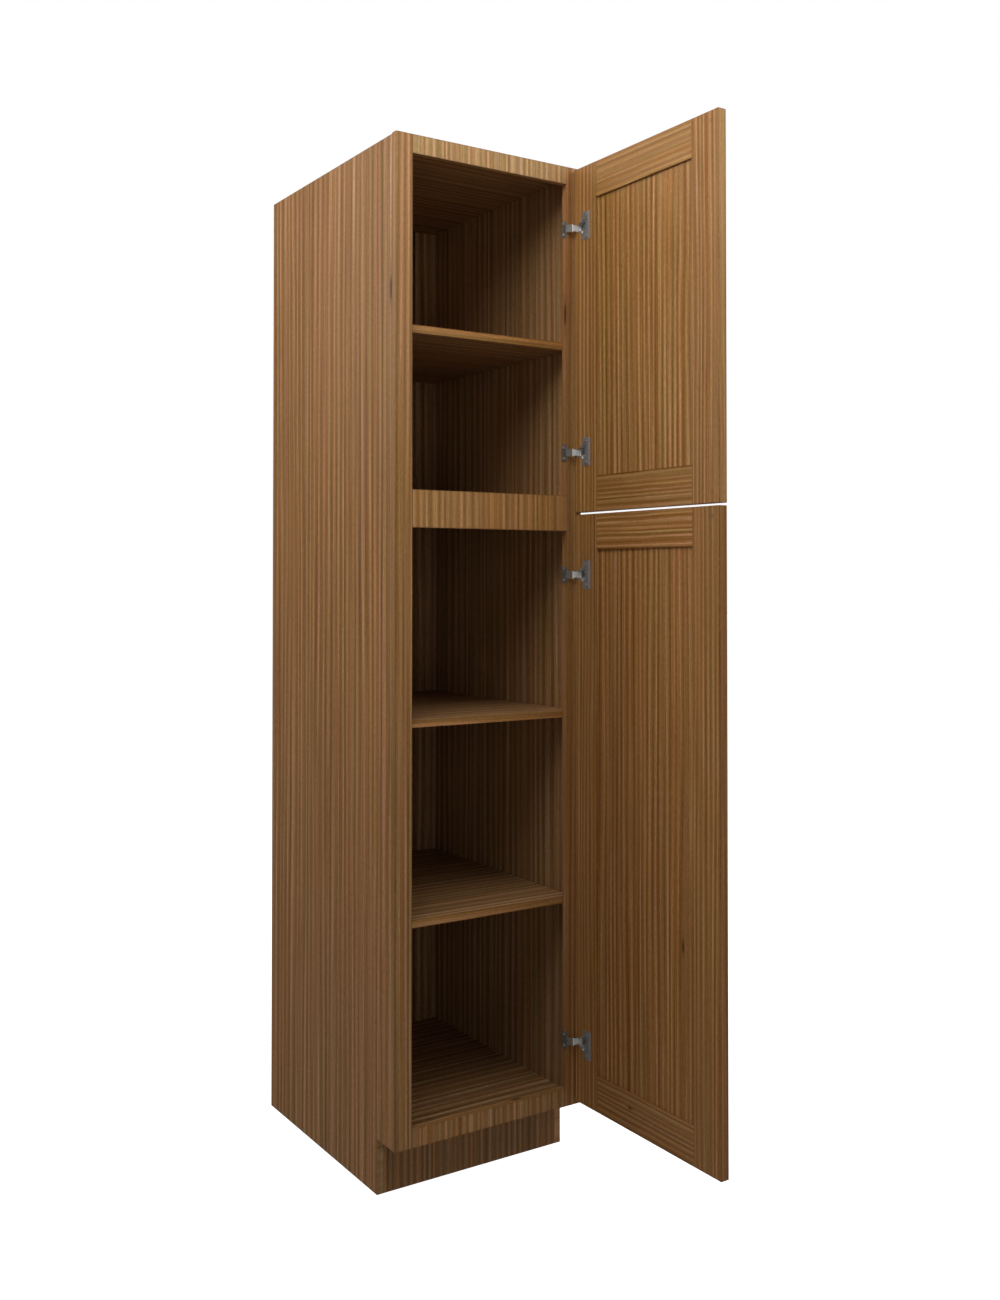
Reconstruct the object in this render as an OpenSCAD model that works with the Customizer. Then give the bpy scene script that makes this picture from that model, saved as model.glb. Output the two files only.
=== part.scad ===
// Tall pantry cabinet: a panelled case with a hardwood face frame, three shelves, a middle and a
// bottom deck, and two frame-and-panel doors on compact single-pivot hinges.
// Millimetres, +Z up, the front faces -Y. The origin is on the floor at the middle of the back.
// The doors are drawn standing open at a right angle to the front.

/* [Cabinet] */
// Overall width, across the face frame
cabinet_w = 457; // [430:1:533]
// Depth from the wall to the front of the face frame
cabinet_d = 610; // [500:1:640]
// Overall height, to the top of the face frame
cabinet_h = 2134; // [2100:1:2286]
// Thickness of the side panels
side_t = 15; // [14:1:19]
// How far each side panel is set in from the side of the face frame
side_inset = 1.5; // [0.5:0.5:3]
// Thickness of the top panel and of the back panel
thin_panel_t = 12; // [11:1:16]
// Thickness of the bottom and middle decks
deck_t = 18; // [16:1:19]

/* [Toe space] */
// Height of the toe space
toe_h = 112; // [100:1:120]
// Depth of the toe space behind the front of the face frame
toe_d = 77; // [60:1:95]
// Thickness of the toe-kick board
toe_board_t = 12; // [10:1:16]

/* [Face frame] */
// Thickness of the face frame
frame_t = 16; // [15:1:20]
// Width of the stiles and of the top and bottom rails
frame_w = 38; // [36:1:45]
// Height of the middle rail
middle_rail_h = 76; // [60:1:90]
// Bottom edge of the middle rail above the floor
middle_rail_z = 1344; // [1330:1:1350]

/* [Shelves] */
// Thickness of the shelf boards
shelf_t = 16; // [16:1:19]
// Underside of the upper shelf above the floor
upper_shelf_z = 1738.5; // [1600:0.5:1900]
// Underside of the middle shelf above the floor
middle_shelf_z = 941.5; // [850:0.5:1040]
// Underside of the lower shelf above the floor
lower_shelf_z = 540.5; // [400:0.5:650]

/* [Doors] */
// Thickness of the door frames
door_t = 19; // [18:1:20]
// Width of the door stiles and rails
door_frame_w = 76; // [70:1:90]
// Reveal of the face frame above the upper door
reveal_top = 6; // [3:1:8]
// Reveal of the face frame below the lower door
reveal_bottom = 10; // [3:1:14]
// Reveal of the face frame at each side of a closed door
reveal_side = 2; // [2:0.5:3]
// Gap between the two doors
door_gap = 5; // [3:1:8]
// How far the inside of a closed door stands off the face frame
door_standoff = 3.2; // [3.2:0.1:4]
// Depth of the panel below the inside of the door frame
panel_inner_recess = 4.5; // [3:0.5:5.5]
// Thickness of the door panels
panel_t = 6.5; // [6:0.5:7]

/* [Hinges] */
// Distance from a door's end to the middle of its hinge
hinge_inset = 129; // [100:1:160]
// Distance from the pivot to the door's hinge-side edge
pivot_from_edge = 7.5; // [7:0.1:7.5]
// Depth of the pivot below the inside face of the door
pivot_depth = 9.5; // [9.4:0.1:9.7]
// Thickness of the stamped hinge arm and frame plate
arm_t = 1.5; // [1.2:0.1:1.6]

/* [Hidden] */

$fn = 48;

// Colours of the finished wood, the raw wood, the steel and the bumpers
WOOD = [0.50, 0.35, 0.21];
LIGHT_WOOD = [0.62, 0.46, 0.30];
RAW_WOOD = [0.76, 0.63, 0.44];
STEEL = [0.62, 0.62, 0.64];
RUBBER = [0.80, 0.80, 0.78];

// Case
front_y = -cabinet_d;
frame_x = cabinet_w / 2;
frame_back_y = front_y + frame_t;
side_out_x = frame_x - side_inset;
side_in_x = side_out_x - side_t;
panel_top_z = cabinet_h - 1;
dado_depth = 6;
back_rabbet = 7;
toe_board_y = front_y + toe_d;
bottom_deck_z = toe_h;
bottom_rail_top_z = toe_h + frame_w;
middle_deck_drop = 20;
middle_deck_z = middle_rail_z + middle_rail_h - middle_deck_drop - deck_t;
top_rail_z = cabinet_h - frame_w;
opening_x = frame_x - frame_w;

// Shelves: each hangs on four pins that lie in slots in its underside
shelf_setback = 1.5;
shelf_side_gap = 1;
shelf_band_t = 1;
shelf_front_y = frame_back_y + shelf_setback;
shelf_back_y = -thin_panel_t - 1;
pin_r = 2.5;
pin_l = 16;
pin_in_side = 8;
pin_slot_gap = 0.1;
pin_front_y = shelf_front_y + 56;
pin_rear_y = -60;

// Fasteners
dowel_r = 3;
dowel_l = 32;
narrow_rail_dowel_offset = 8;
wide_rail_dowel_inset = 14;
corner_block = 38;
corner_block_h = 100;
screw_r = 1.75;
hinge_screw_l = 15.3;
hinge_screw_head_r = 3.3;
back_screw_l = 35;
back_screw_head_r = 3.6;
back_screw_head_h = 2.4;
back_screw_xs = [-150, -50, 50, 150];
back_screw_zs = [bottom_deck_z + deck_t / 2, middle_deck_z + deck_t / 2,
                 panel_top_z - thin_panel_t / 2];

// Doors. In a door's own frame x runs from the hinge edge, y from the inner face, z is up.
door_w = cabinet_w - 2 * reveal_side;
pivot_x = frame_x - reveal_side - pivot_from_edge;
pivot_y = front_y - door_standoff - pivot_depth;
door_inner_x = pivot_x - pivot_depth;
door_edge_y = pivot_y + pivot_from_edge;
doors_meet_z = middle_rail_z + middle_rail_h / 2 - 0.5;
upper_door_z = [doors_meet_z + door_gap / 2, cabinet_h - reveal_top];
lower_door_z = [toe_h + reveal_bottom, doors_meet_z - door_gap / 2];
groove_depth = 8;
panel_edge_gap = 1;
bumper_r = 4.5;
bumper_h = 2.9;
bumper_inset = 20;

// Hinges: the cup is a round steel cup with a narrow neck that carries the pivot pin
pin_radius = 1.5;
pin_clearance = 0.05;
eye_r = 2.3;
arm_half_h = 6.5;
root_half_h = 8.3;
plate_half_h = 18;
plate_hook_l = 5;
knee_x = opening_x + 7;
knee_y = front_y - 13.3;
cup_s = 32;
cup_r = 17.5;
cup_wall = 0.8;
cup_depth = 13.2;
neck_s = 3;
neck_wall = 0.6;
neck_half_h = 8.6;
neck_inner_half_h = 6.9;
flange_t = 1.2;
flange_s = [28, 54];
flange_half_h = 30;
window_end_s = 38.5;
window_half_h = 9;
rivet_s = 28.5;
rivet_z = -12.2;
door_screw_s = 41.5;
door_screw_z = 22;
frame_screw_y = front_y + 8.5;
frame_screw_z = 12;
spring_t = 0.6;
spring_half_h = 4.5;
spring_s = [11.5, 43.5];
spring_curl_r = 1.7;

function hinge_zs(door_z) = [door_z[1] - hinge_inset, door_z[0] + hinge_inset];
upper_hinges = hinge_zs(upper_door_z);
lower_hinges = hinge_zs(lower_door_z);
all_hinges = concat(upper_hinges, lower_hinges);

// ---------------------------------------------------------------- helpers

// A block between two corners, given as [low, high] along each axis
module block(x, y, z) {
    translate([x[0], y[0], z[0]]) cube([x[1] - x[0], y[1] - y[0], z[1] - z[0]]);
}

// Copies its children on both sides of the cabinet
module both_sides() {
    children();
    mirror([1, 0, 0]) children();
}

// A cylinder along +X, +Y or -Y from a point
module rod_x(r, l, at) { translate(at) rotate([0, 90, 0]) cylinder(r = r, h = l); }
module rod_forward(r, l, at) { translate(at) rotate([90, 0, 0]) cylinder(r = r, h = l); }
module rod_back(r, l, at) { translate(at) rotate([-90, 0, 0]) cylinder(r = r, h = l); }

// A flat bar with round ends between two points of the plan
module bar(a, b, t) {
    d = b - a;
    translate(a) circle(d = t);
    translate(b) circle(d = t);
    translate(a) rotate(atan2(d[1], d[0])) translate([0, -t / 2]) square([norm(d), t]);
}

// A steel strip bent along a list of points of the plan
module strip(points, t) {
    for (i = [0 : len(points) - 2]) bar(points[i], points[i + 1], t);
}

// Moves a door's own frame to the open door
module in_door() {
    translate([door_inner_x, door_edge_y, 0]) rotate([0, 0, -90]) children();
}

// Pan-head screw with a cross recess. The head stands on z = 0 and the shank runs down -Z.
module pan_screw(l) {
    difference() {
        union() {
            cylinder(r = hinge_screw_head_r, h = 0.9);
            translate([0, 0, 0.9]) cylinder(r1 = hinge_screw_head_r, r2 = 2.3, h = 0.7);
        }
        cross_recess(1.6);
    }
    translate([0, 0, -l + 3]) cylinder(r = screw_r, h = l - 3);
    translate([0, 0, -l]) cylinder(r1 = 0.3, r2 = screw_r, h = 3);
}

// Flat-head screw, flush with z = 0, with its shank down -Z
module flat_screw(l) {
    difference() {
        translate([0, 0, -back_screw_head_h])
            cylinder(r1 = screw_r, r2 = back_screw_head_r, h = back_screw_head_h);
        cross_recess(0);
    }
    translate([0, 0, -l + 4]) cylinder(r = screw_r, h = l - 4 - back_screw_head_h);
    translate([0, 0, -l]) cylinder(r1 = 0.3, r2 = screw_r, h = 4);
}

// The cross cut into a screw head whose top is at height z
module cross_recess(z) {
    for (a = [0, 90]) rotate([0, 0, a]) translate([-1.9, -0.35, z - 0.8]) cube([3.8, 0.7, 2]);
}

// ---------------------------------------------------------------- case

// The right side panel: toe notch, dadoes for the decks, rabbets for the top and the back
module side_panel() {
    color(WOOD) difference() {
        block([side_in_x, side_out_x], [frame_back_y, 0], [0, panel_top_z]);
        block([side_in_x - 1, side_out_x + 1], [frame_back_y - 1, toe_board_y], [-1, toe_h]);
        for (z = [bottom_deck_z, middle_deck_z])
            block([side_in_x - 1, side_in_x + dado_depth], [frame_back_y - 1, -thin_panel_t],
                  [z, z + deck_t]);
        block([side_in_x - 1, side_in_x + dado_depth], [frame_back_y - 1, -thin_panel_t],
              [panel_top_z - thin_panel_t, panel_top_z + 1]);
        block([side_in_x - 1, side_in_x + back_rabbet], [-thin_panel_t, 1], [-1, panel_top_z + 1]);
        for (z = [upper_shelf_z, middle_shelf_z, lower_shelf_z], y = [pin_front_y, pin_rear_y])
            rod_x(pin_r, pin_in_side + 1, [side_in_x - 1, y, z + pin_r]);
    }
}
module right_side_panel() { side_panel(); }
module left_side_panel() { mirror([1, 0, 0]) side_panel(); }

// A deck or the top, housed in the side panels and screwed through the back
module deck(z, t) {
    half_w = side_in_x + dado_depth;
    difference() {
        block([-half_w, half_w], [frame_back_y, -thin_panel_t], [z, z + t]);
        for (x = back_screw_xs)
            rod_forward(screw_r, back_screw_l - thin_panel_t, [x, -thin_panel_t, z + t / 2]);
    }
}
module top_panel() { color(WOOD) deck(panel_top_z - thin_panel_t, thin_panel_t); }
module middle_deck() { color(WOOD) deck(middle_deck_z, deck_t); }
module bottom_deck() { color(WOOD) deck(bottom_deck_z, deck_t); }

module back_panel() {
    half_w = side_in_x + back_rabbet;
    color(WOOD) difference() {
        block([-half_w, half_w], [-thin_panel_t, 0], [0, panel_top_z]);
        for (x = back_screw_xs, z = back_screw_zs) {
            rod_forward(screw_r, thin_panel_t + 2, [x, 1, z]);
            translate([x, 0, z]) rotate([90, 0, 0])
                cylinder(r1 = back_screw_head_r, r2 = screw_r, h = back_screw_head_h);
        }
    }
}

module back_panel_screws() {
    color(STEEL) for (x = back_screw_xs, z = back_screw_zs)
        translate([x, 0, z]) rotate([-90, 0, 0]) flat_screw(back_screw_l);
}

module toe_kick_board() {
    color(WOOD) block([-side_in_x, side_in_x], [toe_board_y, toe_board_y + toe_board_t], [0, toe_h]);
}

// One glued triangular block in a corner, its square edges along +X and +Y
module corner_block_at(p, turn) {
    translate([p[0], p[1], toe_h - corner_block_h]) rotate([0, 0, turn])
        linear_extrude(corner_block_h) polygon([[0, 0], [corner_block, 0], [0, corner_block]]);
}
module plinth_corner_blocks() {
    color(RAW_WOOD) both_sides() {
        corner_block_at([side_in_x, toe_board_y + toe_board_t], 90);
        corner_block_at([side_in_x, -thin_panel_t], 180);
    }
}

// ---------------------------------------------------------------- face frame

// Heights of the dowels that join each rail to the stiles
dowel_zs = concat(
    [for (z = [bottom_rail_top_z - frame_w / 2, top_rail_z + frame_w / 2], side = [-1, 1])
        z + side * narrow_rail_dowel_offset],
    [middle_rail_z + wide_rail_dowel_inset,
     middle_rail_z + middle_rail_h - wide_rail_dowel_inset]);

// The dowels at the right-hand ends of the rails
module right_dowels() {
    for (z = dowel_zs)
        rod_x(dowel_r, dowel_l, [opening_x - dowel_l / 2, front_y + frame_t / 2, z]);
}

module frame_stile() {
    difference() {
        block([opening_x, frame_x], [front_y, frame_back_y], [toe_h, cabinet_h]);
        right_dowels();
    }
}
module left_stile() { color(LIGHT_WOOD) mirror([1, 0, 0]) frame_stile(); }
module right_stile() {
    color(LIGHT_WOOD) difference() {
        frame_stile();
        for (z = all_hinges, dz = [-frame_screw_z, frame_screw_z])
            rod_x(screw_r, hinge_screw_l - arm_t, [opening_x, frame_screw_y, z + dz]);
    }
}

module frame_rail(z, h) {
    color(LIGHT_WOOD) difference() {
        block([-opening_x, opening_x], [front_y, frame_back_y], [z, z + h]);
        both_sides() right_dowels();
    }
}
module top_rail() { frame_rail(top_rail_z, frame_w); }
module middle_rail() { frame_rail(middle_rail_z, middle_rail_h); }
module bottom_rail() { frame_rail(toe_h, frame_w); }
module frame_dowels() { color(RAW_WOOD) both_sides() right_dowels(); }

// ---------------------------------------------------------------- shelves

shelf_half_w = side_in_x - shelf_side_gap;

module shelf(z) {
    color(WOOD) difference() {
        block([-shelf_half_w, shelf_half_w], [shelf_front_y + shelf_band_t, shelf_back_y],
              [z, z + shelf_t]);
        both_sides() for (y = [pin_front_y, pin_rear_y])
            block([side_in_x - pin_l + pin_in_side - 0.5, side_in_x],
                  [y - pin_r - pin_slot_gap, y + pin_r + pin_slot_gap], [z - 1, z + 2 * pin_r]);
    }
}
module upper_shelf() { shelf(upper_shelf_z); }
module middle_shelf() { shelf(middle_shelf_z); }
module lower_shelf() { shelf(lower_shelf_z); }

module shelf_edge_bands() {
    color(LIGHT_WOOD) for (z = [upper_shelf_z, middle_shelf_z, lower_shelf_z])
        block([-shelf_half_w, shelf_half_w], [shelf_front_y, shelf_front_y + shelf_band_t],
              [z, z + shelf_t]);
}

module shelf_pins() {
    color(STEEL) both_sides()
        for (z = [upper_shelf_z, middle_shelf_z, lower_shelf_z], y = [pin_front_y, pin_rear_y])
            rod_x(pin_r, pin_l, [side_in_x + pin_in_side - pin_l, y, z + pin_r]);
}

// ---------------------------------------------------------------- doors

panel_y = [panel_inner_recess, panel_inner_recess + panel_t];
panel_half_gap = groove_depth - panel_edge_gap;

// A stile from s to s + door_frame_w, grooved along the edge that faces the panel
module door_stile(z, s, groove_s) {
    difference() {
        block([s, s + door_frame_w], [0, door_t], z);
        block([groove_s, groove_s + groove_depth], panel_y, [z[0] - 1, z[1] + 1]);
    }
}

// The pockets and pilot holes for one hinge cup, in the door's own frame
module cup_pocket(z) {
    translate([cup_s, cup_depth, z]) rotate([90, 0, 0]) cylinder(r = cup_r, h = cup_depth + 1);
    block([neck_s, cup_s], [-1, cup_depth], [z - neck_half_h, z + neck_half_h]);
    for (dz = [-door_screw_z, door_screw_z])
        rod_back(screw_r, hinge_screw_l - flange_t + 1, [door_screw_s, -1, z + dz]);
}

module door_hinge_stile(door_z) {
    color(LIGHT_WOOD) in_door() difference() {
        door_stile(door_z, 0, door_frame_w - groove_depth);
        for (z = hinge_zs(door_z)) cup_pocket(z);
    }
}
module door_free_stile(door_z) {
    color(LIGHT_WOOD) in_door() door_stile(door_z, door_w - door_frame_w, door_w - door_frame_w);
}

// A rail with a tongue at each end; groove_z is where the groove for the panel starts
module door_rail(z, groove_z) {
    color(LIGHT_WOOD) in_door() difference() {
        union() {
            block([door_frame_w, door_w - door_frame_w], [0, door_t], [z, z + door_frame_w]);
            block([door_frame_w - groove_depth, door_w - door_frame_w + groove_depth], panel_y,
                  [z, z + door_frame_w]);
        }
        block([0, door_w], panel_y, [groove_z, groove_z + groove_depth + 1]);
    }
}
module door_top_rail(door_z) {
    door_rail(door_z[1] - door_frame_w, door_z[1] - door_frame_w - 1);
}
module door_bottom_rail(door_z) {
    door_rail(door_z[0], door_z[0] + door_frame_w - groove_depth);
}

module door_panel(door_z) {
    color(WOOD) in_door() block(
        [door_frame_w - panel_half_gap, door_w - door_frame_w + panel_half_gap], panel_y,
        [door_z[0] + door_frame_w - panel_half_gap, door_z[1] - door_frame_w + panel_half_gap]);
}

module door_bumpers(door_z) {
    color(RUBBER) in_door()
        for (z = [door_z[0] + bumper_inset, door_z[1] - bumper_inset])
            translate([door_w - bumper_inset, 0, z]) rotate([90, 0, 0]) rotate_extrude()
                polygon([[0, 0], [bumper_r, 0], [bumper_r, 1], [bumper_r - 0.6, 2.1],
                         [bumper_r - 1.9, bumper_h], [0, bumper_h]]);
}

// ---------------------------------------------------------------- hinges

// Frame plate, hook and arm, stamped in one piece
module hinge_arm(z) {
    plate_x = opening_x - arm_t / 2;
    plate_front_y = front_y - 0.6;
    plate_rear_y = frame_back_y + arm_t / 2;
    color(STEEL) difference() {
        union() {
            translate([0, 0, z - plate_half_h]) linear_extrude(2 * plate_half_h)
                strip([[plate_x, plate_front_y + 0.4], [plate_x, plate_rear_y],
                       [plate_x + plate_hook_l, plate_rear_y]], arm_t);
            translate([0, 0, z - root_half_h]) linear_extrude(2 * root_half_h)
                strip([[plate_x, plate_front_y], [knee_x, knee_y]], arm_t);
            translate([0, 0, z - arm_half_h]) linear_extrude(2 * arm_half_h) {
                strip([[knee_x, knee_y], [pivot_x, pivot_y]], arm_t);
                translate([pivot_x, pivot_y]) circle(r = eye_r);
            }
        }
        translate([pivot_x, pivot_y, z - arm_half_h - 1])
            cylinder(r = pin_radius + pin_clearance, h = 2 * arm_half_h + 2);
        for (dz = [-frame_screw_z, frame_screw_z])
            rod_x(screw_r + 0.2, arm_t + 2, [opening_x - arm_t - 1, frame_screw_y, z + dz]);
        for (dy = [5, 12], dz = [-4, 4])
            rod_x(1.1, arm_t + 2, [opening_x - arm_t - 1, front_y + dy, z + dz]);
    }
}

// The plan of the cup and its neck, grown or shrunk
module cup_outline(r, neck_start, half_h) {
    translate([cup_s, 0]) circle(r = r);
    translate([neck_start, -half_h]) square([cup_s - neck_start, 2 * half_h]);
}

// Turns a plan drawn in the door's x and z into a plate of depth y0 to y1
module door_plate(z, y0, y1) {
    translate([0, y1, z]) rotate([90, 0, 0]) linear_extrude(y1 - y0) children();
}

module hinge_cup(z) {
    color(STEEL) in_door() {
        difference() {
            door_plate(z, 0, cup_depth) cup_outline(cup_r, neck_s, neck_half_h);
            door_plate(z, -1, cup_depth - cup_wall)
                cup_outline(cup_r - cup_wall, neck_s + neck_wall, neck_inner_half_h);
            translate([pivot_from_edge, pivot_depth, z - neck_half_h - 1])
                cylinder(r = pin_radius, h = 2 * neck_half_h + 2);
        }
        difference() {
            door_plate(z, -flange_t, 0) {
                translate([cup_s, 0]) circle(r = cup_r);
                translate([flange_s[0], -flange_half_h])
                    square([flange_s[1] - flange_s[0], 2 * flange_half_h]);
            }
            door_plate(z, -flange_t - 1, 1)
                translate([0, -window_half_h]) square([window_end_s, 2 * window_half_h]);
            door_plate(z, -flange_t - 1, 1)
                translate([flange_s[0] + 2, 11.5]) square([17, 1.8]);
            for (dz = [-door_screw_z, door_screw_z])
                rod_back(screw_r + 0.2, flange_t + 2, [door_screw_s, -flange_t - 1, z + dz]);
        }
        translate([rivet_s, -flange_t, z + rivet_z]) rotate([90, 0, 0]) {
            cylinder(r = 2.6, h = 0.5);
            translate([0, 0, 0.5]) cylinder(r1 = 2.6, r2 = 1.5, h = 0.7);
        }
    }
}

module hinge_pin(z) {
    color(STEEL) translate([pivot_x, pivot_y, z - neck_half_h])
        cylinder(r = pin_radius, h = 2 * neck_half_h);
}

// The closing spring: a leaf on the floor of the cup, curled at its fixed end
module hinge_spring(z) {
    leaf_y = cup_depth - cup_wall - spring_t / 2;
    curl_y = leaf_y - spring_curl_r;
    color(STEEL) in_door() translate([0, 0, z - spring_half_h]) linear_extrude(2 * spring_half_h) {
        strip([[spring_s[0], leaf_y], [spring_s[1], leaf_y]], spring_t);
        translate([spring_s[1], curl_y]) difference() {
            circle(r = spring_curl_r + spring_t / 2);
            circle(r = spring_curl_r - spring_t / 2);
            translate([-5, -0.5]) square([5, spring_curl_r]);
        }
    }
}

module door_hinge_screws(door_z) {
    color(STEEL) in_door() for (z = hinge_zs(door_z), dz = [-door_screw_z, door_screw_z])
        translate([door_screw_s, -flange_t, z + dz]) rotate([90, 0, 0]) pan_screw(hinge_screw_l);
}

module frame_hinge_screws() {
    color(STEEL) for (z = all_hinges, dz = [-frame_screw_z, frame_screw_z])
        translate([opening_x - arm_t, frame_screw_y, z + dz]) rotate([0, -90, 0])
            pan_screw(hinge_screw_l);
}

// ---------------------------------------------------------------- assembly

left_side_panel();
right_side_panel();
top_panel();
middle_deck();
bottom_deck();
back_panel();
back_panel_screws();
toe_kick_board();
plinth_corner_blocks();
left_stile();
right_stile();
top_rail();
middle_rail();
bottom_rail();
frame_dowels();
upper_shelf();
middle_shelf();
lower_shelf();
shelf_edge_bands();
shelf_pins();
door_hinge_stile(upper_door_z);  // upper_door_hinge_stile
door_free_stile(upper_door_z);  // upper_door_free_stile
door_top_rail(upper_door_z);  // upper_door_top_rail
door_bottom_rail(upper_door_z);  // upper_door_bottom_rail
door_panel(upper_door_z);  // upper_door_panel
door_bumpers(upper_door_z);  // upper_door_bumpers
door_hinge_screws(upper_door_z);  // upper_door_hinge_screws
door_hinge_stile(lower_door_z);  // lower_door_hinge_stile
door_free_stile(lower_door_z);  // lower_door_free_stile
door_top_rail(lower_door_z);  // lower_door_top_rail
door_bottom_rail(lower_door_z);  // lower_door_bottom_rail
door_panel(lower_door_z);  // lower_door_panel
door_bumpers(lower_door_z);  // lower_door_bumpers
door_hinge_screws(lower_door_z);  // lower_door_hinge_screws
frame_hinge_screws();
hinge_arm(upper_hinges[0]);  // upper_door_top_hinge_arm
hinge_cup(upper_hinges[0]);  // upper_door_top_hinge_cup
hinge_pin(upper_hinges[0]);  // upper_door_top_hinge_pin
hinge_spring(upper_hinges[0]);  // upper_door_top_hinge_spring
hinge_arm(upper_hinges[1]);  // upper_door_bottom_hinge_arm
hinge_cup(upper_hinges[1]);  // upper_door_bottom_hinge_cup
hinge_pin(upper_hinges[1]);  // upper_door_bottom_hinge_pin
hinge_spring(upper_hinges[1]);  // upper_door_bottom_hinge_spring
hinge_arm(lower_hinges[0]);  // lower_door_top_hinge_arm
hinge_cup(lower_hinges[0]);  // lower_door_top_hinge_cup
hinge_pin(lower_hinges[0]);  // lower_door_top_hinge_pin
hinge_spring(lower_hinges[0]);  // lower_door_top_hinge_spring
hinge_arm(lower_hinges[1]);  // lower_door_bottom_hinge_arm
hinge_cup(lower_hinges[1]);  // lower_door_bottom_hinge_cup
hinge_pin(lower_hinges[1]);  // lower_door_bottom_hinge_pin
hinge_spring(lower_hinges[1]);  // lower_door_bottom_hinge_spring
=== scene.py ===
"""The pantry cabinet's looks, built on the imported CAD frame. Metres, +Z up, the front faces -Y."""

import math

import bpy
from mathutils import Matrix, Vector


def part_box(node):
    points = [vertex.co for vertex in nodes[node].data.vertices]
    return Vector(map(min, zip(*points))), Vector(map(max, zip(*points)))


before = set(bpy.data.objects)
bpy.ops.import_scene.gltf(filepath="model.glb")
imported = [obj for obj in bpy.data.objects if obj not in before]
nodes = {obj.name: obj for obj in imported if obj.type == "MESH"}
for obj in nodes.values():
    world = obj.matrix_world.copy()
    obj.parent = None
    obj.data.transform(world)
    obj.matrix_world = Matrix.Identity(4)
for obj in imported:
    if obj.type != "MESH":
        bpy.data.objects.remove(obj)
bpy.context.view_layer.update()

# ---------------------------------------------------------------- camera

CAMERA_AT = (-1.4574, -2.8684, 1.2413)
# Degrees from +Y towards +X, and degrees upward
CAMERA_HEADING = 33.17
CAMERA_TILT = 0.968
# Millimetres
SENSOR_WIDTH = 36
FOCAL_LENGTH = 35.85
SHIFT_Y = -0.0717


def make_camera():
    """The photograph's viewpoint: from the front left, at chest height, almost level."""
    data = bpy.data.cameras.new("camera")
    data.sensor_width = SENSOR_WIDTH
    data.lens = FOCAL_LENGTH
    data.shift_y = SHIFT_Y
    data.clip_end = 100
    camera = bpy.data.objects.new("camera", data)
    camera.location = CAMERA_AT
    camera.rotation_euler = (math.radians(90 + CAMERA_TILT), 0, math.radians(-CAMERA_HEADING))
    bpy.context.scene.collection.objects.link(camera)
    bpy.context.scene.camera = camera


# ---------------------------------------------------------------- studio

# Strength of the world's light from above and below, and of the backdrop that the camera sees
WORLD_ABOVE = 0.035
WORLD_BELOW = 0.232
BACKDROP = 1.0
# Points in the cabinet that the softboxes face
UPPER_HALF = (0, -0.5, 1.7)
LOWER_BACK = (-0.2, -0.3, 1.3)
# Each softbox: its place, the point it faces, the length of its side and its power in watts
SOFTBOXES = {
    "key": ((-1.5, -1.5, 3.2), UPPER_HALF, 1.8, 21.0),
    "right_high": ((1.0, -2.2, 3.0), UPPER_HALF, 1.8, 28.3),
    "left_back_high": ((-2.2, 0.9, 2.5), LOWER_BACK, 1.6, 36.5),
    "front_high": ((-0.75, -1.25, 2.9), UPPER_HALF, 1.1, 12.0),
    "beside_camera": ((-2.2, -4.5, 1.3), LOWER_BACK, 2.2, 13.5),
    "front_right_low": ((0.9, -3.6, 1.2), LOWER_BACK, 1.6, 6.6),
    # These two light the sides that the photograph doesn't show
    "right_side": ((3.0, -0.4, 2.2), LOWER_BACK, 1.8, 40.0),
    "behind": ((0.8, 3.0, 2.2), LOWER_BACK, 1.8, 30.0),
}
FLOOR_HALF = 30
FLOOR_DROP = 0.0005
FLOOR_ALBEDO = 0.5


def make_world():
    """Even light from above and below for the object, and a plain white backdrop for the camera."""
    world = bpy.data.worlds.new("studio")
    world.use_nodes = True
    bpy.context.scene.world = world
    g = Graph(world.node_tree)
    direction = g.add("ShaderNodeTexCoord").outputs["Generated"]
    height = g.split(direction)[2]
    above = g.math("GREATER_THAN", height, 0.0)
    strength = g.mix_value(above, WORLD_BELOW, WORLD_ABOVE)
    seen = g.add("ShaderNodeLightPath").outputs["Is Camera Ray"]
    strength = g.mix_value(seen, strength, BACKDROP)
    background = world.node_tree.nodes["Background"]
    g.put(background.inputs["Color"], (1, 1, 1, 1))
    g.put(background.inputs["Strength"], strength)


def make_lights():
    """The softboxes, which the camera doesn't see."""
    for name, (place, target, side, power) in SOFTBOXES.items():
        data = bpy.data.lights.new(name, "AREA")
        data.size = side
        data.energy = power
        light = bpy.data.objects.new(name, data)
        light.location = place
        facing = Vector(place) - Vector(target)
        light.rotation_euler = facing.to_track_quat("Z", "Y").to_euler()
        light.visible_camera = False
        bpy.context.scene.collection.objects.link(light)


def make_floor():
    """A floor as white as the backdrop. The world's light from below stands for its bounce."""
    mesh = bpy.data.meshes.new("floor")
    corners = [(-1, -1), (1, -1), (1, 1), (-1, 1)]
    vertices = [(x * FLOOR_HALF, y * FLOOR_HALF, -FLOOR_DROP) for x, y in corners]
    mesh.from_pydata(vertices, [], [(0, 1, 2, 3)])
    floor = bpy.data.objects.new("floor", mesh)
    bpy.context.scene.collection.objects.link(floor)
    floor.visible_diffuse = False
    floor.visible_glossy = False
    floor.visible_shadow = False
    material = bpy.data.materials.new("floor")
    material.use_nodes = True
    shader = material.node_tree.nodes["Principled BSDF"]
    shader.inputs["Base Color"].default_value = (FLOOR_ALBEDO, FLOOR_ALBEDO, FLOOR_ALBEDO, 1)
    shader.inputs["Roughness"].default_value = 1.0
    shader.inputs["Specular IOR Level"].default_value = 0.0
    shader.inputs["Emission Color"].default_value = (1, 1, 1, 1)
    shader.inputs["Emission Strength"].default_value = BACKDROP
    mesh.materials.append(material)


# ---------------------------------------------------------------- node helpers


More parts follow.
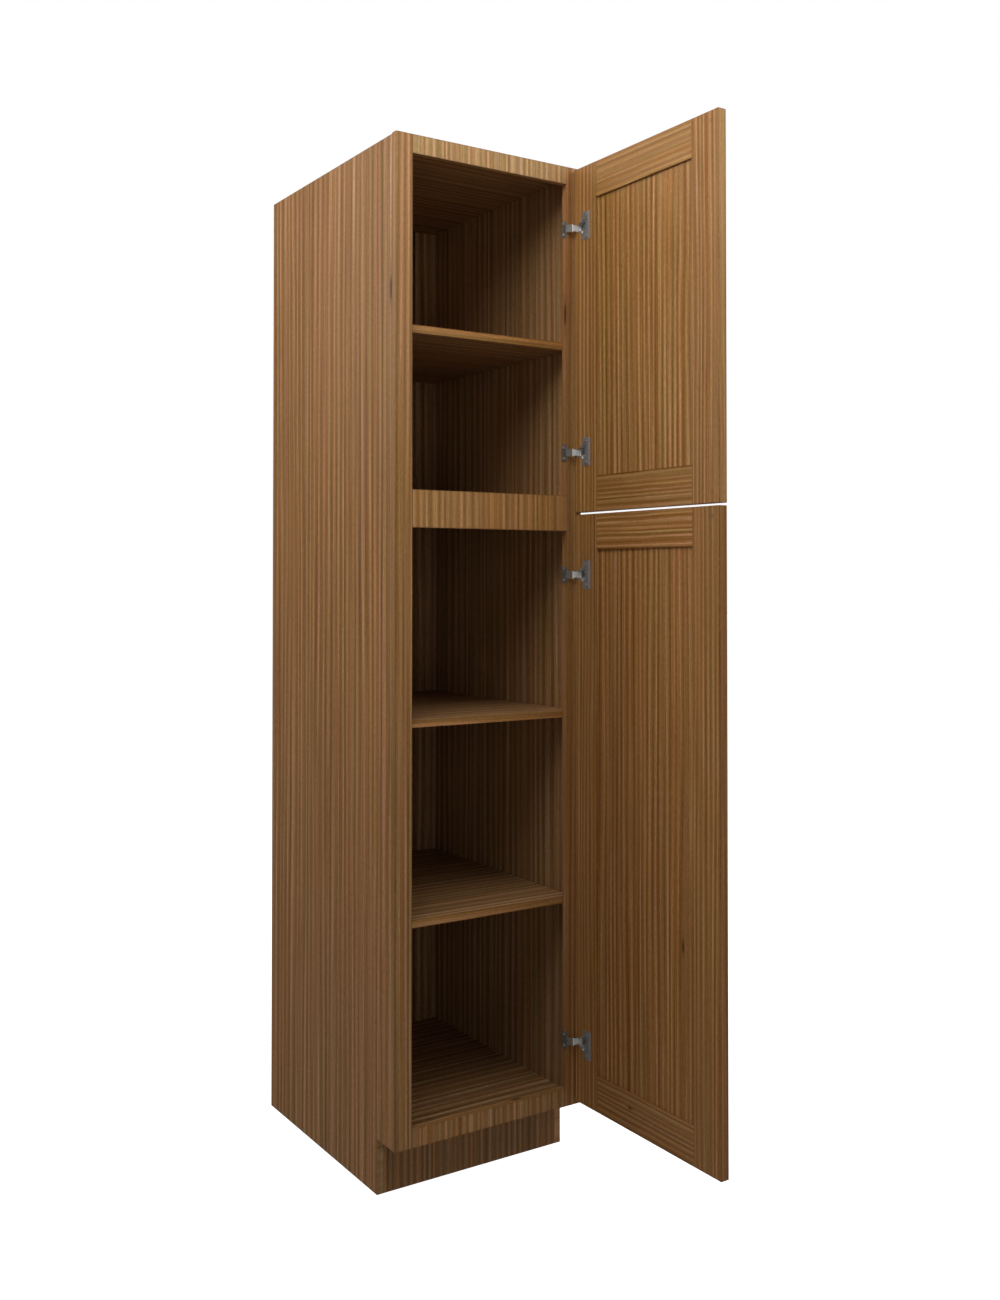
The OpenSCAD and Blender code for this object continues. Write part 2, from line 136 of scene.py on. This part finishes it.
class Graph:
    """Adds nodes to a node tree and wires them."""

    def __init__(self, tree):
        self.tree = tree

    def add(self, kind, **settings):
        node = self.tree.nodes.new(kind)
        for key, value in settings.items():
            setattr(node, key, value)
        return node

    def put(self, socket, value):
        """Links a socket, or sets a plain value on it."""
        if isinstance(value, bpy.types.NodeSocket):
            self.tree.links.new(value, socket)
        else:
            socket.default_value = value

    def math(self, operation, *values):
        node = self.add("ShaderNodeMath", operation=operation)
        for socket, value in zip(node.inputs, values):
            self.put(socket, value)
        return node.outputs[0]

    def vector(self, operation, *values):
        node = self.add("ShaderNodeVectorMath", operation=operation)
        for socket, value in zip(node.inputs, values):
            self.put(socket, value)
        return node.outputs["Value" if operation in ("LENGTH", "DOT_PRODUCT") else "Vector"]

    def split(self, vector):
        node = self.add("ShaderNodeSeparateXYZ")
        self.put(node.inputs[0], vector)
        return node.outputs

    def join(self, x, y, z):
        node = self.add("ShaderNodeCombineXYZ")
        for socket, value in zip(node.inputs, (x, y, z)):
            self.put(socket, value)
        return node.outputs[0]

    def stretched_noise(self, vector, scale, detail=1.0):
        """Noise from 0 to 1, with its own scale along each axis."""
        node = self.add("ShaderNodeTexNoise")
        self.put(node.inputs["Vector"], self.vector("MULTIPLY", vector, scale))
        self.put(node.inputs["Scale"], 1.0)
        self.put(node.inputs["Detail"], detail)
        return node.outputs[0]

    def centred_noise(self, vector, scale):
        """Stretched noise from -0.5 to 0.5."""
        return self.math("SUBTRACT", self.stretched_noise(vector, scale), 0.5)

    def remap(self, value, low, high, to_low=0.0, to_high=1.0):
        """Goes smoothly from one level to another while the value goes from low to high."""
        node = self.add("ShaderNodeMapRange", interpolation_type="SMOOTHSTEP")
        for socket, setting in zip(node.inputs, (value, low, high, to_low, to_high)):
            self.put(socket, setting)
        return node.outputs[0]

    def mix_value(self, factor, a, b):
        node = self.add("ShaderNodeMix", data_type="FLOAT")
        for socket, value in zip((node.inputs[0], node.inputs[2], node.inputs[3]), (factor, a, b)):
            self.put(socket, value)
        return node.outputs[0]

    def mix_vector(self, factor, a, b):
        node = self.add("ShaderNodeMix", data_type="VECTOR")
        for socket, value in zip((node.inputs[0], node.inputs[4], node.inputs[5]), (factor, a, b)):
            self.put(socket, value)
        return node.outputs[1]

    def mix_color(self, factor, a, b, blend="MIX"):
        node = self.add("ShaderNodeMix", data_type="RGBA", blend_type=blend)
        for socket, value in zip((node.inputs[0], node.inputs[6], node.inputs[7]), (factor, a, b)):
            self.put(socket, value)
        return node.outputs[2]

    def ramp(self, factor, stops):
        node = self.add("ShaderNodeValToRGB")
        elements = node.color_ramp.elements
        while len(elements) < len(stops):
            elements.new(0.5)
        for element, (at, color) in zip(elements, stops):
            element.position = at
            element.color = (*color, 1)
        self.put(node.inputs[0], factor)
        return node.outputs[0]


# Most of a noise lies between these two levels
MIDDLE_BAND = (0.3, 0.7)

# ---------------------------------------------------------------- wood

# How fast red, green and blue deepen from pale to dark stripes, for each group of pieces
CASE_RATES = (0.88, 1.14, 1.80)
SHELF_RATES = (1.20, 1.50, 2.25)
FRAME_RATES = (0.80, 1.00, 1.60)
DOOR_RATES = (0.84, 1.12, 1.85)
PALE_RAIL_RATES = (0.66, 0.90, 1.50)
PANEL_RATES = (0.95, 1.28, 2.05)
# Each wood: its mean colour, linear, and its rates
CASE_WOOD = ((0.300, 0.139, 0.0430), CASE_RATES)
# The inner faces' paler colour is painted light, standing in for light inside the shaded case
PAINTED_FILL_INSIDE_WOOD = ((0.318, 0.171, 0.0705), CASE_RATES)
SHELF_WOOD = ((0.308, 0.164, 0.0660), SHELF_RATES)
FRAME_WOOD = ((0.319, 0.159, 0.0543), FRAME_RATES)
# The toe board's darker colour is painted shade under the case
SHADED_TOE_WOOD = ((0.256, 0.123, 0.0412), FRAME_RATES)
# The top rail's paler colour is painted light and sheen from the lamps above
SHEEN_LIT_TOP_RAIL_WOOD = ((0.350, 0.199, 0.0740), FRAME_RATES)
# The right stile's darker, warmer colour is painted shade: its inner face gets only bounced light
SHADED_RIGHT_STILE_WOOD = ((0.286, 0.128, 0.0375), FRAME_RATES)
DOOR_WOOD = ((0.336, 0.161, 0.0467), DOOR_RATES)
# The lower door and its panel are a shade darker than the upper ones: painted shade, for less light low
# down
SHADED_LOWER_DOOR_WOOD = ((0.322, 0.150, 0.0440), DOOR_RATES)
# The upper rails' paler colour with fainter stripes is painted sheen from the lamps above
SHEEN_LIT_RAIL_WOOD = ((0.365, 0.185, 0.0590), PALE_RAIL_RATES)
LOWER_DOOR_RAIL_WOOD = ((0.365, 0.168, 0.0470), DOOR_RATES)
UPPER_PANEL_WOOD = ((0.355, 0.172, 0.0490), PANEL_RATES)
SHADED_LOWER_PANEL_WOOD = ((0.337, 0.153, 0.0448), PANEL_RATES)
# How strongly the tone brightens or darkens the colour
TONE_GAIN = 2.3

# Noise is set in cells per metre across, through and along the grain
# The grain wanders sideways over its length: the noise, and how far in metres
GRAIN_DRIFT = ((5, 5, 1.3), 0.010)
GRAIN_RIPPLE = ((24, 24, 9), 0.012)
# The main stripes: waves per metre across and through the wood, the noise that shifts them and by
# how many waves, their depth, and where they fade and swell
WAVES_ACROSS = 38.0
WAVES_THROUGH = 15.2
WAVE_DRIFT = ((15, 15, 0.5), 1.9)
WAVE_DEPTH = 0.120
WAVE_STRENGTH = ((30, 30, 1.1), (0.35, 1.5))
# Layers of noise, and how much each adds to the tone
BROAD = ((14, 14, 0.5), 0.06)
FINE_STRIPE = ((190, 190, 1.6), 0.36)
LINE = ((460, 460, 5), 0.36)
FLECK = ((380, 380, 120), 0.26)
FIBRE = ((1900, 1900, 45), 0.16)
# Thin growth lines and short pores: the noise, the band over which they begin, and how dark they are
GROWTH_LINE = ((170, 170, 1.2), (0.60, 0.72), 0.10)
GROWTH_LINE_DETAIL = 0.5
PORE = ((2600, 2600, 90), (0.62, 0.72), 0.12)
# Hue streaks and how much each changes its channel
RED_STREAK = ((150, 150, 0.9), 0.58)
BLUE_STREAK = ((150, 150, 0.9), 1.05)
# Where in the noise these layers are taken, so that no two are alike
WAVE_STRENGTH_PLACE = (4.4, 0.7, 9.1)
GROWTH_LINE_PLACE = (3.1, 1.7, 0.4)
RED_STREAK_PLACE = (7.3, 2.2, 5.0)
BLUE_STREAK_PLACE = (1.9, 8.8, 2.5)
# The finish's roughness, what dark stripes, pores and worn places add, and the heights for the bumps
ROUGHNESS = 0.46
ROUGHER_DARK_STRIPES = 0.25
ROUGHER_PORES = 0.15
WORN_ROUGHNESS = 0.15
LINE_HEIGHT = 0.5
PORE_HEIGHT = -0.6


def make_group_tree(name, inputs, outputs):
    """An empty node group with the named sockets."""
    tree = bpy.data.node_groups.new(name, "ShaderNodeTree")
    for direction, sockets in (("INPUT", inputs), ("OUTPUT", outputs)):
        for label, kind in sockets.items():
            tree.interface.new_socket(label, in_out=direction, socket_type=f"NodeSocket{kind}")
    return tree


def make_wood_group():
    """Straight-grained striped veneer. The grain of its vector runs along Z."""
    tree = make_group_tree(
        "striped_wood",
        dict(Vector="Vector", Waviness="Float", Density="Float", Mean="Color", Deepening="Vector"),
        dict(Color="Color", Roughness="Float", Height="Float"),
    )
    g = Graph(tree)
    inputs = g.add("NodeGroupInput").outputs
    outputs = g.add("NodeGroupOutput").inputs
    straight = inputs["Vector"]

    drift_scale, drift_reach = GRAIN_DRIFT
    ripple_scale, ripple_reach = GRAIN_RIPPLE
    drift = g.math("MULTIPLY", g.centred_noise(straight, drift_scale), drift_reach)
    ripple = g.math("MULTIPLY", g.centred_noise(straight, ripple_scale), inputs["Waviness"])
    sideways = g.math("ADD", drift, g.math("MULTIPLY", ripple, ripple_reach))
    moved = g.vector("ADD", straight, g.join(sideways, sideways, 0.0))
    at = g.vector("MULTIPLY", moved, g.join(inputs["Density"], inputs["Density"], 1.0))

    # Main stripes: a wave whose phase wanders
    across, through, _ = g.split(at)
    even_turns = g.math("ADD", g.math("MULTIPLY", across, WAVES_ACROSS),
                        g.math("MULTIPLY", through, WAVES_THROUGH))
    drift_scale, drift_turns = WAVE_DRIFT
    phase = g.math("MULTIPLY", g.stretched_noise(at, drift_scale), drift_turns)
    turns = g.math("ADD", even_turns, phase)
    wave = g.math("SINE", g.math("MULTIPLY", turns, 2 * math.pi))
    strength_scale, strength_range = WAVE_STRENGTH
    strength = g.stretched_noise(g.vector("ADD", at, WAVE_STRENGTH_PLACE), strength_scale)
    strength = g.remap(strength, *MIDDLE_BAND, *strength_range)
    tone = g.math("MULTIPLY", g.math("MULTIPLY", wave, strength), WAVE_DEPTH)

    layers = {}
    for name, (scale, amount) in (
        ("broad", BROAD), ("fine", FINE_STRIPE), ("line", LINE), ("fleck", FLECK), ("fibre", FIBRE),
    ):
        layers[name] = g.centred_noise(at, scale)
        tone = g.math("ADD", tone, g.math("MULTIPLY", layers[name], amount))

    # Thin dark growth lines that come and go
    line_scale, line_band, line_depth = GROWTH_LINE
    lines = g.stretched_noise(g.vector("ADD", at, GROWTH_LINE_PLACE), line_scale, GROWTH_LINE_DETAIL)
    tone = g.math("SUBTRACT", tone, g.math("MULTIPLY", g.remap(lines, *line_band), line_depth))

    # Pores: short dark dashes
    pore_scale, pore_band, pore_depth = PORE
    pores = g.remap(g.stretched_noise(at, pore_scale), *pore_band)
    tone = g.math("SUBTRACT", tone, g.math("MULTIPLY", pores, pore_depth))

    # Each channel follows the tone at its own rate, and red and blue have streaks of their own
    light = g.math("EXPONENT", g.math("MULTIPLY", tone, TONE_GAIN))
    means = g.split(inputs["Mean"])
    rates = g.split(inputs["Deepening"])
    streaks = {0: (RED_STREAK, RED_STREAK_PLACE), 2: (BLUE_STREAK, BLUE_STREAK_PLACE)}
    channels = []
    for channel in range(3):
        value = g.math("MULTIPLY", means[channel], g.math("POWER", light, rates[channel]))
        if channel in streaks:
            (scale, amount), place = streaks[channel]
            streak = g.centred_noise(g.vector("ADD", at, place), scale)
            streak = g.math("ADD", 1.0, g.math("MULTIPLY", streak, amount))
            value = g.math("MULTIPLY", value, streak)
        channels.append(value)

    height = g.math("ADD", g.math("MULTIPLY", layers["line"], LINE_HEIGHT), layers["fibre"])
    height = g.math("ADD", height, g.math("MULTIPLY", pores, PORE_HEIGHT))
    rough = g.math("SUBTRACT", ROUGHNESS, g.math("MULTIPLY", layers["fine"], ROUGHER_DARK_STRIPES))
    rough = g.math("ADD", rough, g.math("MULTIPLY", pores, ROUGHER_PORES))
    g.put(outputs["Color"], g.join(*channels))
    g.put(outputs["Roughness"], rough)
    g.put(outputs["Height"], height)
    return tree


AXES = "XYZ"
# Half-way through the side walls and the back, where the outer colour gives way to the inner one, which is
# painted paler as light in the shaded inside
WALL_MIDDLE = 0.2195
BACK_MIDDLE = -0.006
# The band along each edge where the finish lies darker, and how much darker
EDGE_WIDTH = 0.0022
EDGE_TINT = (0.50, 0.42, 0.36, 1)
EDGE_AMOUNT = 0.75
# Places along the edges where the finish is rubbed thin
WORN_WIDTH = 0.6 * EDGE_WIDTH
WORN_COLOR = (0.46, 0.27, 0.12, 1)
WORN_AMOUNT = 0.45
WORN_NOISE = (60, 60, 60)
WORN_DETAIL = 3.0
WORN_BAND = (0.56, 0.70)
# A knot's shaded surround and its dark heart: the reach over which each fades in, its strength, its colour
KNOT_WOBBLE = (700, 700, 700)
KNOT_SHADE = ((2.6, 0.6), 0.45, (0.40, 0.33, 0.28, 1))
KNOT_HEART = ((1.1, 0.5), 0.92, (0.012, 0.008, 0.006, 1))
WOOD_SPECULAR = 0.22
WOOD_BUMP = (0.35, 0.0004)
# A face that looks more than this far upward is a ledge
LEDGE_NORMAL = 0.7


def edge_distance(g, position, low, high):
    """Distance to the nearest edge of a box, for a point on its surface."""
    centre = (low + high) / 2
    half = (high - low) / 2
    inward = g.vector("SUBTRACT", tuple(half),
                      g.vector("ABSOLUTE", g.vector("SUBTRACT", position, tuple(centre))))
    a, b, c = g.split(inward)
    # On a surface the smallest of the three is zero, so the middle one is the distance
    return g.math("MAXIMUM", g.math("MINIMUM", a, b), g.math("MINIMUM", g.math("MAXIMUM", a, b), c))


def put_bump(g, shader, height, strength, distance):
    """Gives a shader bumps of a height, which is linked or plain."""
    bump = g.add("ShaderNodeBump")
    bump.inputs["Strength"].default_value = strength
    bump.inputs["Distance"].default_value = distance
    g.put(bump.inputs["Height"], height)
    g.put(shader.inputs["Normal"], bump.outputs[0])


def new_material(name):
    """A material with its graph and its shader."""
    material = bpy.data.materials.new(name)
    material.use_nodes = True
    return material, Graph(material.node_tree), material.node_tree.nodes["Principled BSDF"]


def darken_knots(g, position, color, knots):
    """Adds knots, each a (centre, radii), to a colour."""
    for centre, radii in knots:
        reach = g.vector("LENGTH", g.vector("DIVIDE", g.vector("SUBTRACT", position, centre), radii))
        reach = g.math("ADD", reach, g.centred_noise(position, KNOT_WOBBLE))
        for (fade, strength, tint), blend in ((KNOT_SHADE, "MULTIPLY"), (KNOT_HEART, "MIX")):
            color = g.mix_color(g.remap(reach, *fade, 0.0, strength), color, tint, blend)
    return color


def wood(name, box, kind, along="Z", across="Y", solid=False, seed=0.0, shift=0.0, density=1.0,
         waviness=0.0, ledge_grain=False, knots=()):
    """Striped wood for one piece. Veneer (not solid) has the same pattern through its thickness.
    shift slides the pattern along the grain, and ledge_grain turns it on faces that look up."""
    material, g, shader = new_material(name)
    coordinates = g.add("ShaderNodeTexCoord")
    position = coordinates.outputs["Object"]
    axis = dict(zip(AXES, g.split(position)))
    third = next(a for a in AXES if a not in (along, across))
    depth = axis[third] if solid else 0.0
    vector = g.join(axis[across], depth, axis[along])
    if ledge_grain:
        normal = g.split(g.vector("ABSOLUTE", coordinates.outputs["Normal"]))[2]
        vector = g.mix_vector(g.math("GREATER_THAN", normal, LEDGE_NORMAL), vector,
                              g.join(axis["Y"], 0.0, axis["X"]))
    vector = g.vector("ADD", vector, (seed, 3 * seed, shift))

    grain = g.add("ShaderNodeGroup", node_tree=wood_group)
    g.put(grain.inputs["Vector"], vector)
    g.put(grain.inputs["Waviness"], waviness)
    g.put(grain.inputs["Density"], density)
    mean, rates = kind
    g.put(grain.inputs["Mean"], (*mean, 1))
    g.put(grain.inputs["Deepening"], rates)
    if kind is CASE_WOOD:
        # The inner faces are painted a little paler than the outer ones: painted light in the shaded
        # inside of the case
        painted_fill_mean, _ = PAINTED_FILL_INSIDE_WOOD
        within = g.math("MULTIPLY", g.math("LESS_THAN", g.math("ABSOLUTE", axis["X"]), WALL_MIDDLE),
                        g.math("LESS_THAN", axis["Y"], BACK_MIDDLE))
        g.put(grain.inputs["Mean"], g.mix_color(within, (*mean, 1), (*painted_fill_mean, 1)))

    color = darken_knots(g, position, grain.outputs["Color"], knots)

    # The finish lies darker along the edges, and in places it is rubbed thin
    edge = edge_distance(g, position, *box)
    dark_edge = g.math("MULTIPLY", g.remap(edge, EDGE_WIDTH, 0.0), EDGE_AMOUNT)
    color = g.mix_color(dark_edge, color, EDGE_TINT, "MULTIPLY")
    uneven = g.remap(g.stretched_noise(position, WORN_NOISE, WORN_DETAIL), *WORN_BAND)
    worn = g.math("MULTIPLY", g.remap(edge, WORN_WIDTH, 0.0), uneven)
    color = g.mix_color(g.math("MULTIPLY", worn, WORN_AMOUNT), color, WORN_COLOR)

    g.put(shader.inputs["Base Color"], color)
    g.put(shader.inputs["Roughness"], g.math("ADD", grain.outputs["Roughness"],
                                             g.math("MULTIPLY", worn, WORN_ROUGHNESS)))
    shader.inputs["Specular IOR Level"].default_value = WOOD_SPECULAR
    put_bump(g, shader, grain.outputs["Height"], *WOOD_BUMP)
    return material


# ---------------------------------------------------------------- metal and plastic

# Colours of the steel, linear. The arm's root is painted darker as shade, and its leg, the flange's
# border, the cup's inside and the rivets' heads paler as painted highlights and light
ARM_ROOT_SHADE_COLOR = (0.155, 0.143, 0.125)
LEG_HIGHLIGHT_COLOR = (0.92, 0.89, 0.84)
CUP_COLOR = (0.235, 0.225, 0.215)
FLANGE_HIGHLIGHT_COLOR = (0.33, 0.32, 0.31)
CUP_INSIDE_LIT_COLOR = (0.50, 0.48, 0.45)
RIVET_HIGHLIGHT_COLOR = (0.75, 0.72, 0.66)
FASTENER_COLOR = (0.30, 0.29, 0.275)
SPRING_COLOR = (0.20, 0.20, 0.20)
# Where the hinges' painted highlights and painted light begin when the doors are at rest: the leg beyond
# the knee, along +X;
# the flange's border, along -Y; the cup's inside, along +X; and the rivets' heads, along -X
ARM_KNEE = 0.1965
FLANGE_BORDER = 0.6625
DOOR_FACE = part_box("upper_door_free_stile")[0].x
CUP_INSIDE = DOOR_FACE + 0.0006
RIVET_FACE = DOOR_FACE - 0.0014
# The plating is dull, so it is only partly metallic
METALLIC = 0.2
STEEL_ROUGHNESS = 0.36
CUP_ROUGHNESS = 0.38
# Noise of the steel in cells per metre, and its detail
BRUSHING = ((900, 900, 60), 2.0)
STAIN = ((160, 160, 160), 3.0)
SCRATCH = ((300, 2400, 900), 1.0)
STAIN_BAND = (0.35, 0.70)
STAIN_TINT = (0.78, 0.77, 0.76, 1)
STAIN_AMOUNT = 0.8
SCRATCH_BAND = (0.66, 0.70)
SCRATCH_COLOR = (0.55, 0.54, 0.52, 1)
SCRATCH_AMOUNT = 0.3
BRUSHED_ROUGHNESS = 0.24
STAINED_ROUGHNESS = 0.08
STEEL_BUMP = (0.25, 0.0001)


def steel(name, color, roughness, painted_lights=()):
    """Plated steel with fine brushing, faint stains and small scratches.
    The listed (direction, distance, colour) triples paint parts another colour beyond a distance: painted
    highlights and painted light."""
    material, g, shader = new_material(name)
    position = g.add("ShaderNodeTexCoord").outputs["Object"]
    brushing = g.stretched_noise(position, *BRUSHING)
    stain = g.stretched_noise(position, *STAIN)
    scratch = g.remap(g.stretched_noise(position, *SCRATCH), *SCRATCH_BAND)
    tone = (*color, 1)
    # Painted highlights and painted light: beyond each distance the part takes a paler colour
    for direction, distance, painted_light_color in painted_lights:
        along = g.vector("DOT_PRODUCT", position, direction)
        tone = g.mix_color(g.math("GREATER_THAN", along, distance), tone, (*painted_light_color, 1))
    stained = g.math("MULTIPLY", g.remap(stain, *STAIN_BAND), STAIN_AMOUNT)
    tone = g.mix_color(stained, tone, STAIN_TINT, "MULTIPLY")
    tone = g.mix_color(g.math("MULTIPLY", scratch, SCRATCH_AMOUNT), tone, SCRATCH_COLOR)
    g.put(shader.inputs["Base Color"], tone)
    shader.inputs["Metallic"].default_value = METALLIC
    rough = g.math("ADD", roughness - BRUSHED_ROUGHNESS / 2,
                   g.math("MULTIPLY", brushing, BRUSHED_ROUGHNESS))
    rough = g.math("ADD", rough, g.math("MULTIPLY", stain, STAINED_ROUGHNESS))
    g.put(shader.inputs["Roughness"], rough)
    put_bump(g, shader, g.math("ADD", brushing, scratch), *STEEL_BUMP)
    return material


# Softwood: noise of the rings and of the saw's marks, with its detail, and the colours of the rings
RINGS = ((160, 160, 4), 2.0)
SAW_MARKS = ((30, 30, 900), 1.0)
RING_COLORS = ((0.3, (0.46, 0.29, 0.14)), (0.5, (0.62, 0.43, 0.23)), (0.7, (0.72, 0.54, 0.32)))
TIMBER_ROUGHNESS = 0.6
SAWN_ROUGHNESS = 0.3
TIMBER_BUMP = (0.6, 0.0006)


def raw_timber():
    """Sawn softwood of the hidden blocks and dowels."""
    material, g, shader = new_material("raw_timber")
    position = g.add("ShaderNodeTexCoord").outputs["Object"]
    rings = g.stretched_noise(position, *RINGS)
    saw = g.stretched_noise(position, *SAW_MARKS)
    g.put(shader.inputs["Base Color"], g.ramp(rings, RING_COLORS))
    rough = g.math("ADD", TIMBER_ROUGHNESS, g.math("MULTIPLY", saw, SAWN_ROUGHNESS))
    g.put(shader.inputs["Roughness"], rough)
    put_bump(g, shader, g.math("ADD", rings, saw), *TIMBER_BUMP)
    return material


RUBBER_COLOR = (0.50, 0.40, 0.28, 1)
RUBBER_ALPHA = 0.07
RUBBER_SPECULAR = 0.35
RUBBER_CLOUD = ((400, 400, 400), 2.0)
RUBBER_ROUGHNESS = (0.12, 0.34)


def clear_rubber():
    """Soft clear bumpers, slightly clouded."""
    material, g, shader = new_material("clear_rubber")
    position = g.add("ShaderNodeTexCoord").outputs["Object"]
    cloud = g.stretched_noise(position, *RUBBER_CLOUD)
    shader.inputs["Base Color"].default_value = RUBBER_COLOR
    shader.inputs["Alpha"].default_value = RUBBER_ALPHA
    g.put(shader.inputs["Roughness"], g.remap(cloud, *MIDDLE_BAND, *RUBBER_ROUGHNESS))
    shader.inputs["Specular IOR Level"].default_value = RUBBER_SPECULAR
    return material


# ---------------------------------------------------------------- pieces

# How closely the pattern of each kind of piece is packed: 1 is the pitch set above
SIDE_DENSITY = 1.12
FRAME_DENSITY = 1.75
STILE_DENSITY = 2.15
PANEL_DENSITY = 1.60
RAIL_DENSITY = 2.3
RAIL_WAVINESS = 0.20
# How far apart the patterns of two pieces are taken
SEED_STEP = 1.37
RIGHT_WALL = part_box("right_side_panel")[0].x
# Small knots: the centre of each, and its radii along the axes
KNOTS = {
    "left_side_panel": [((-0.227, -0.587, 1.822), (0.010, 0.0036, 0.028))],
    "right_stile": [((0.1905, -0.605, 1.814), (0.010, 0.0032, 0.030))],
    "bottom_rail": [((0.066, -0.5975, 0.150), (0.012, 0.0030, 0.010))],
    "lower_door_panel": [((0.214, -0.958, 0.530), (0.010, 0.0024, 0.014))],
    "lower_door_bottom_rail": [((0.2095, -0.800, 0.168), (0.010, 0.0055, 0.0022))],
}
LEVEL_BOARDS = ("top_panel", "middle_deck", "bottom_deck", "upper_shelf", "middle_shelf", "lower_shelf")
# Rounding of the edges
WOOD_EDGE = 0.0007
ARM_EDGE = 0.0004
CUP_EDGE = 0.0002
SHARP_ANGLE = math.radians(35)
WELD_REACH = 2e-6


def dress(node, material):
    """Gives a CAD node its material."""
    mesh = nodes[node].data
    mesh.materials.clear()
    mesh.materials.append(material)


def soften(node, radius):
    """Rounds a node's sharp edges a little, so that they catch the light."""
    piece = nodes[node]
    weld = piece.modifiers.new("weld", "WELD")
    weld.merge_threshold = WELD_REACH
    bevel = piece.modifiers.new("edges", "BEVEL")
    bevel.width = radius
    bevel.segments = 2
    bevel.limit_method = "ANGLE"
    bevel.angle_limit = SHARP_ANGLE
    bevel.miter_outer = "MITER_ARC"
    normals = piece.modifiers.new("normals", "WEIGHTED_NORMAL")
    normals.keep_sharp = False


def case_specs():
    """How wood() makes each board of the case."""
    specs = {}
    for name in ("left_side_panel", "right_side_panel"):
        specs[name] = dict(kind=CASE_WOOD, density=SIDE_DENSITY)
    for name in LEVEL_BOARDS:
        # The stripes run on from the right wall's, round the corner
        meets_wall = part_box(name)[0].z - RIGHT_WALL
        specs[name] = dict(along="X", across="Y", shift=meets_wall,
                           kind=SHELF_WOOD, density=SIDE_DENSITY)
    specs["top_panel"]["kind"] = CASE_WOOD
    specs["back_panel"] = dict(kind=CASE_WOOD, across="X", density=SIDE_DENSITY)
    # The toe board's darker colour is painted shade
    specs["toe_kick_board"] = dict(kind=SHADED_TOE_WOOD, across="X", density=FRAME_DENSITY)
    specs["shelf_edge_bands"] = dict(kind=DOOR_WOOD, along="X", across="Z", density=FRAME_DENSITY)
    for name in ("left_stile", "right_stile"):
        specs[name] = dict(kind=FRAME_WOOD, across="X", solid=True, density=FRAME_DENSITY)
    for name in ("top_rail", "middle_rail", "bottom_rail"):
        specs[name] = dict(kind=FRAME_WOOD, across="X", solid=True, density=FRAME_DENSITY,
                           ledge_grain=True)
    # The top rail's paler colour is painted light and sheen from above
    specs["top_rail"]["kind"] = SHEEN_LIT_TOP_RAIL_WOOD
    # The middle rail's paler colour is painted sheen from above
    specs["middle_rail"]["kind"] = SHEEN_LIT_RAIL_WOOD
    # The right stile's darker colour is painted shade
    specs["right_stile"]["kind"] = SHADED_RIGHT_STILE_WOOD
    return specs


def door_specs(door, kind, top_rail_kind, panel_kind):
    """How wood() makes each piece of a door."""
    specs = {}
    for part in ("hinge_stile", "free_stile"):
        specs[f"{door}_{part}"] = dict(kind=kind, across="Y", solid=True, density=STILE_DENSITY)
    for part, rail_kind in (("top_rail", top_rail_kind), ("bottom_rail", kind)):
        specs[f"{door}_{part}"] = dict(kind=rail_kind, along="Y", across="Z", solid=True,
                                       density=RAIL_DENSITY, waviness=RAIL_WAVINESS)
    specs[f"{door}_panel"] = dict(kind=panel_kind, across="Y", density=PANEL_DENSITY)
    return specs


def finish_wood():
    """Gives every board its own cut of the striped wood."""
    specs = case_specs()
    # The upper door's top rail takes the paler colour of painted sheen
    specs.update(door_specs("upper_door", DOOR_WOOD, SHEEN_LIT_RAIL_WOOD, UPPER_PANEL_WOOD))
    # The lower door's darker colours are painted shade
    specs.update(door_specs("lower_door", SHADED_LOWER_DOOR_WOOD, LOWER_DOOR_RAIL_WOOD, SHADED_LOWER_PANEL_WOOD))
    for name, knots in KNOTS.items():
        specs[name]["knots"] = knots
    # The right wall and the level boards share one pattern
    one_pattern = ("right_side_panel", *LEVEL_BOARDS)
    seed = 0.0
    for name, spec in specs.items():
        if name not in one_pattern:
            seed += SEED_STEP
            spec["seed"] = seed
        dress(name, wood(f"wood_{name}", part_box(name), **spec))
        soften(name, WOOD_EDGE)


def finish_hardware():
    """Gives the hinges, fasteners, bumpers and hidden timber their materials."""
    # The arm's root is painted darker as shade, and its leg paler as a painted highlight
    arm = steel("arm_steel", ARM_ROOT_SHADE_COLOR, STEEL_ROUGHNESS, painted_lights=[((1, 0, 0), ARM_KNEE, LEG_HIGHLIGHT_COLOR)])
    # The flange's border and the rivets' heads carry painted highlights, and the cup's inside painted
    # light
    cup = steel("cup_steel", CUP_COLOR, CUP_ROUGHNESS,
                painted_lights=[((0, -1, 0), FLANGE_BORDER, FLANGE_HIGHLIGHT_COLOR),
                        ((1, 0, 0), CUP_INSIDE, CUP_INSIDE_LIT_COLOR),
                        ((-1, 0, 0), -RIVET_FACE, RIVET_HIGHLIGHT_COLOR)])
    fastener = steel("fastener_steel", FASTENER_COLOR, STEEL_ROUGHNESS)
    spring = steel("spring_steel", SPRING_COLOR, STEEL_ROUGHNESS)
    # Endings of the nodes' names, the material of each, and the rounding of its edges
    finishes = (
        (("_arm",), arm, ARM_EDGE),
        (("_cup",), cup, CUP_EDGE),
        (("_spring",), spring, None),
        (("_pin", "_pins", "_screws"), fastener, None),
        (("_bumpers",), clear_rubber(), None),
        (("_blocks", "_dowels"), raw_timber(), None),
    )
    for name in nodes:
        for endings, material, edge in finishes:
            if name.endswith(endings):
                dress(name, material)
                if edge:
                    soften(name, edge)


make_camera()
make_world()
make_lights()
make_floor()
wood_group = make_wood_group()
finish_wood()
finish_hardware()

bpy.context.scene.view_settings.view_transform = "Standard"
